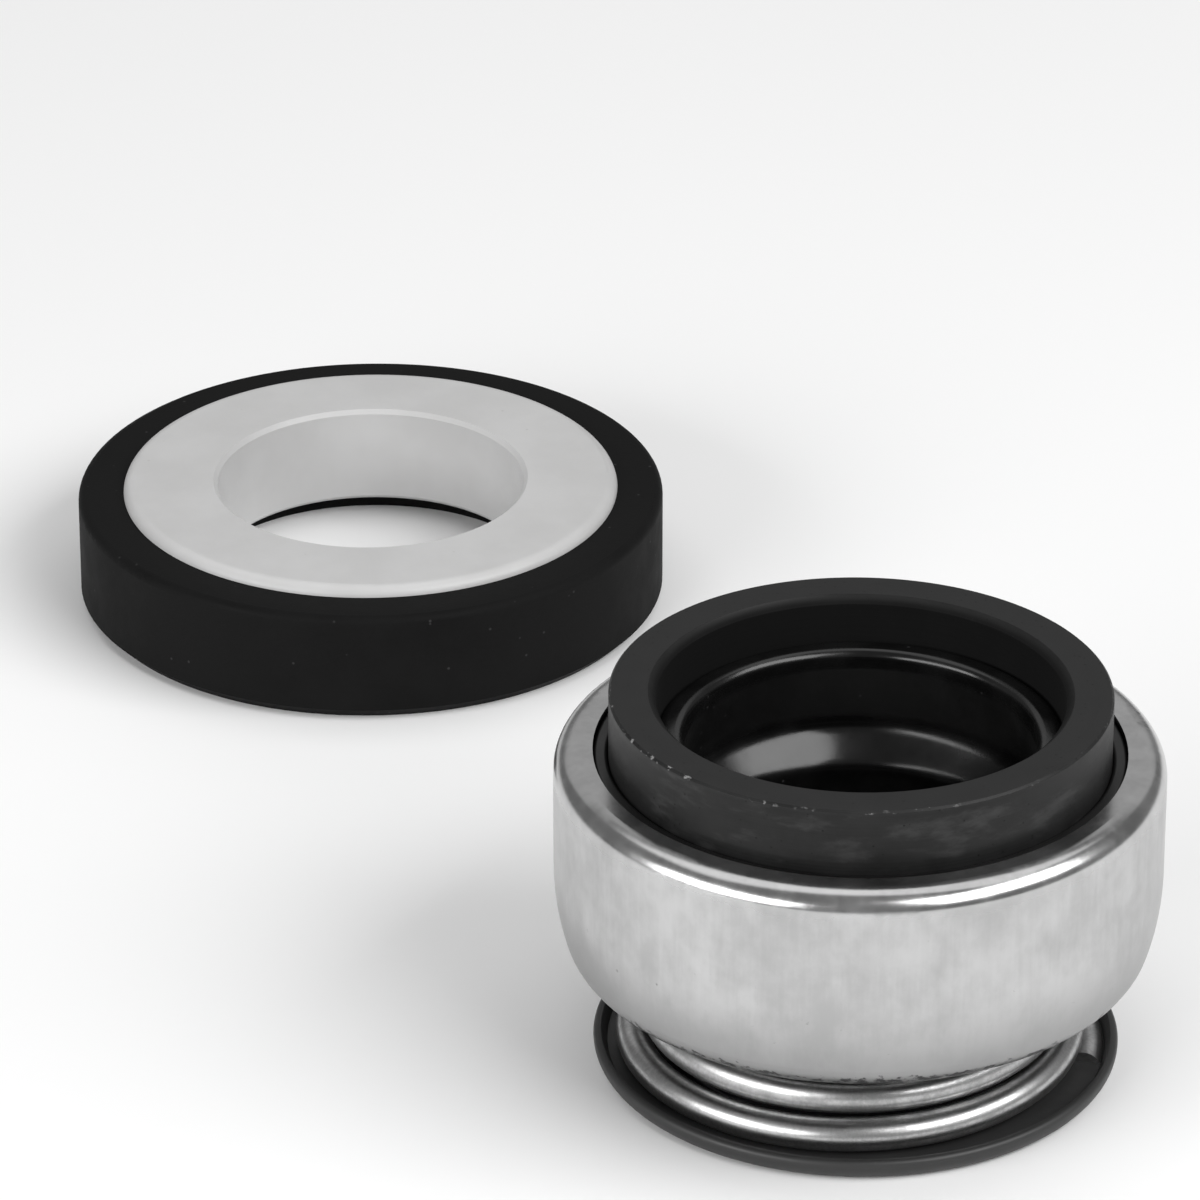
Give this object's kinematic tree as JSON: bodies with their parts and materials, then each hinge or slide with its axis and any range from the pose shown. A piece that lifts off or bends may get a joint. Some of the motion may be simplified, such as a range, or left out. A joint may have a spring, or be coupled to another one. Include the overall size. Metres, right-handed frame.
{
  "type": "component mechanical seal",
  "caption": "Rotary seal unit with a carbon face ring, drawn steel casing, rubber bellows and conical spring, beside its ceramic seat ring in a rubber cup.",
  "frame": {"origin": "rotary unit's axis at the underside of its tail flange, where the shaft bore begins", "axes": "+Z along the shaft bore from the tail to the sealing face, +X right and +Y away from the viewer, with the seat lying behind and to the left"},
  "size_m": [0.0735, 0.1065, 0.026],
  "materials": {
    "ceramic": "lapped, satin",
    "rubber": "moulded, matte",
    "carbon": "resin-filled carbon, lapped, dull",
    "casing_steel": "drawn stainless sheet, satin",
    "spring_steel": "drawn stainless wire, bright"
  },
  "bodies": {
    "seat": {"seat_ring": "ceramic", "seat_cup": "rubber"},
    "drive": {"bellows": "rubber", "spring": "spring_steel"},
    "head": {"casing": "casing_steel", "face_ring": "carbon", "spring_collar": "casing_steel"}
  },
  "joints": [
    {"name": "shaft_turn", "type": "hinge", "parent": "seat", "child": "drive", "pos_m": [0, 0, 0], "axis": [0, 0, 1], "continuous": true},
    {"name": "face_travel", "type": "slide", "parent": "drive", "child": "head", "axis": [0, 0, 1], "range_m": [-0.003, 0], "stiffness_N_per_m": 2500, "deforming": ["spring", "bellows"]}
  ]
}
